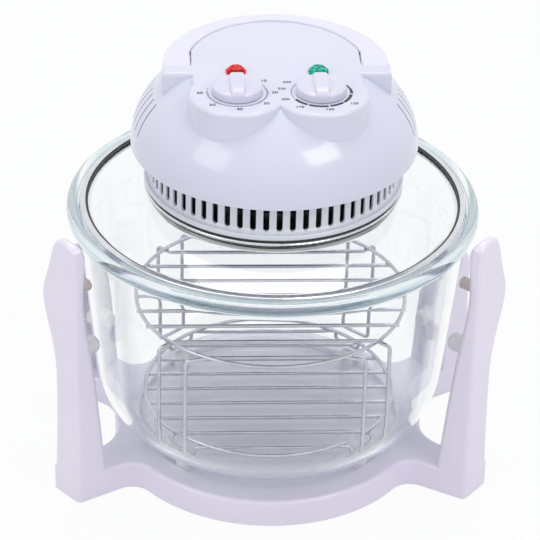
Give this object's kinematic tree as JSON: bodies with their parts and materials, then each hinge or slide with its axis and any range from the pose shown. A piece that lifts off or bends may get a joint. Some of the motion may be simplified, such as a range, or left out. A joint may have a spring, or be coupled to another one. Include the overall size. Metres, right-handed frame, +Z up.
{
  "type": "halogen oven",
  "caption": "Glass bowl on a moulded stand under a glass lid that carries a domed heating head with dial knobs, a bail handle and a slotted vent ring; wire racks inside.",
  "frame": {"origin": "on the floor under the middle of the bowl", "axes": "+Z up, -Y towards the user and the knobs, +X to the user's right"},
  "size_m": [0.3714, 0.3362, 0.377],
  "materials": {
    "stand_plastic": "satin moulded",
    "head_plastic": "satin moulded",
    "vent_plastic": "satin moulded",
    "handle_plastic": "satin moulded",
    "knob_plastic": "satin moulded",
    "foot_rubber": "matte",
    "bumper_rubber": "matte",
    "rim_pad_rubber": "matte",
    "seal_silicone": "matte",
    "gasket_rubber": "matte",
    "bowl_glass": "clear tempered",
    "lid_glass": "clear tempered",
    "rim_steel": "rolled",
    "rack_chrome": "bright plated wire",
    "pan_steel": "spun",
    "screw_steel": "zinc plated",
    "shaft_steel": "ground",
    "fan_aluminium": "pressed",
    "core_steel": "laminated",
    "coil_tape": "taped winding",
    "quartz": "clear quartz",
    "tungsten": "coiled wire",
    "ceramic": "unglazed",
    "black_plastic": "moulded",
    "bell_brass": "plated",
    "lead_silicone": "smooth sleeve",
    "lens_red": "clear faceted",
    "lens_green": "clear faceted",
    "probe_copper": "drawn tube"
  },
  "bodies": {
    "stand": {"base_stand": "stand_plastic", "rubber_feet": "foot_rubber", "bowl_seat_pads": "bumper_rubber", "post_bumpers": "bumper_rubber", "rim_pads": "rim_pad_rubber"},
    "bowl": {"glass_bowl": "bowl_glass"},
    "rack_high": {"high_rack": "rack_chrome"},
    "rack_low": {"low_rack": "rack_chrome"},
    "handle": {"bail_handle": "handle_plastic"},
    "timer_control": {"timer_knob": "knob_plastic", "timer_shaft": "shaft_steel"},
    "thermostat_control": {"thermostat_knob": "knob_plastic", "thermostat_shaft": "shaft_steel"},
    "fan_drive": {"motor_shaft": "shaft_steel", "motor_rotor": "core_steel", "hot_air_fan": "fan_aluminium", "cooling_fan": "black_plastic", "fan_nut": "screw_steel"},
    "plunger": {"switch_plunger": "black_plastic"},
    "lid": {"lid_rim_ring": "rim_steel", "lid_seal": "seal_silicone", "lid_glass": "lid_glass", "flange_seat_ring": "rim_steel", "flange_gasket": "gasket_rubber", "lower_gasket": "gasket_rubber", "vent_ring": "vent_plastic", "head_shell": "head_plastic", "handle_pivots": "shaft_steel", "safety_switch": "black_plastic", "timer_body": "black_plastic", "timer_bell": "bell_brass", "thermostat_body": "ceramic", "thermostat_probe": "probe_copper", "power_lens": "lens_red", "heat_lens": "lens_green", "neon_holders": "black_plastic", "heater_pan": "pan_steel", "lamp_guard": "pan_steel", "clamp_screws": "screw_steel", "head_screws": "screw_steel", "halogen_tube": "quartz", "lamp_filament": "tungsten", "lamp_end_caps": "ceramic", "lamp_clips": "shaft_steel", "motor_core": "core_steel", "motor_coil": "coil_tape", "motor_end_plates": "fan_aluminium", "motor_bracket": "pan_steel", "motor_standoffs": "screw_steel", "motor_screws": "screw_steel", "thermal_cutout": "ceramic", "terminal_block": "ceramic", "wire_loom": "lead_silicone", "cord_gland": "black_plastic"}
  },
  "joints": [
    {"name": "bowl_lift", "type": "slide", "parent": "stand", "child": "bowl", "axis": [0, 0, 1], "range_m": [0, 0.25]},
    {"name": "lid_lift", "type": "slide", "parent": "bowl", "child": "lid", "axis": [0, 0, 1], "range_m": [0, 0.15]},
    {"name": "high_rack_lift", "type": "slide", "parent": "bowl", "child": "rack_high", "axis": [0, 0, 1], "range_m": [0, 0.08]},
    {"name": "low_rack_lift", "type": "slide", "parent": "bowl", "child": "rack_low", "axis": [0, 0, 1], "range_m": [0, 0.08]},
    {"name": "handle_swing", "type": "hinge", "parent": "lid", "child": "handle", "pos_m": [0, 0.004, 0.352], "axis": [1, 0, 0], "range_deg": [0, 90]},
    {"name": "plunger_slide", "type": "slide", "parent": "lid", "child": "plunger", "axis": [0, 0, 1], "range_m": [0, 0.0032]},
    {"name": "timer_turn", "type": "hinge", "parent": "lid", "child": "timer_control", "pos_m": [-0.0324, -0.0505, 0.359], "axis": [0, 0, -1], "range_deg": [0, 300]},
    {"name": "thermostat_turn", "type": "hinge", "parent": "lid", "child": "thermostat_control", "pos_m": [0.0324, -0.0505, 0.359], "axis": [0, 0, -1], "range_deg": [0, 320]},
    {"name": "fan_spin", "type": "hinge", "parent": "lid", "child": "fan_drive", "pos_m": [0, 0, 0.3], "axis": [0, 0, 1], "continuous": true}
  ],
  "couplings": [
    {"joint": "plunger_slide", "follows": "handle_swing", "m_per_rad": 0.0019}
  ]
}
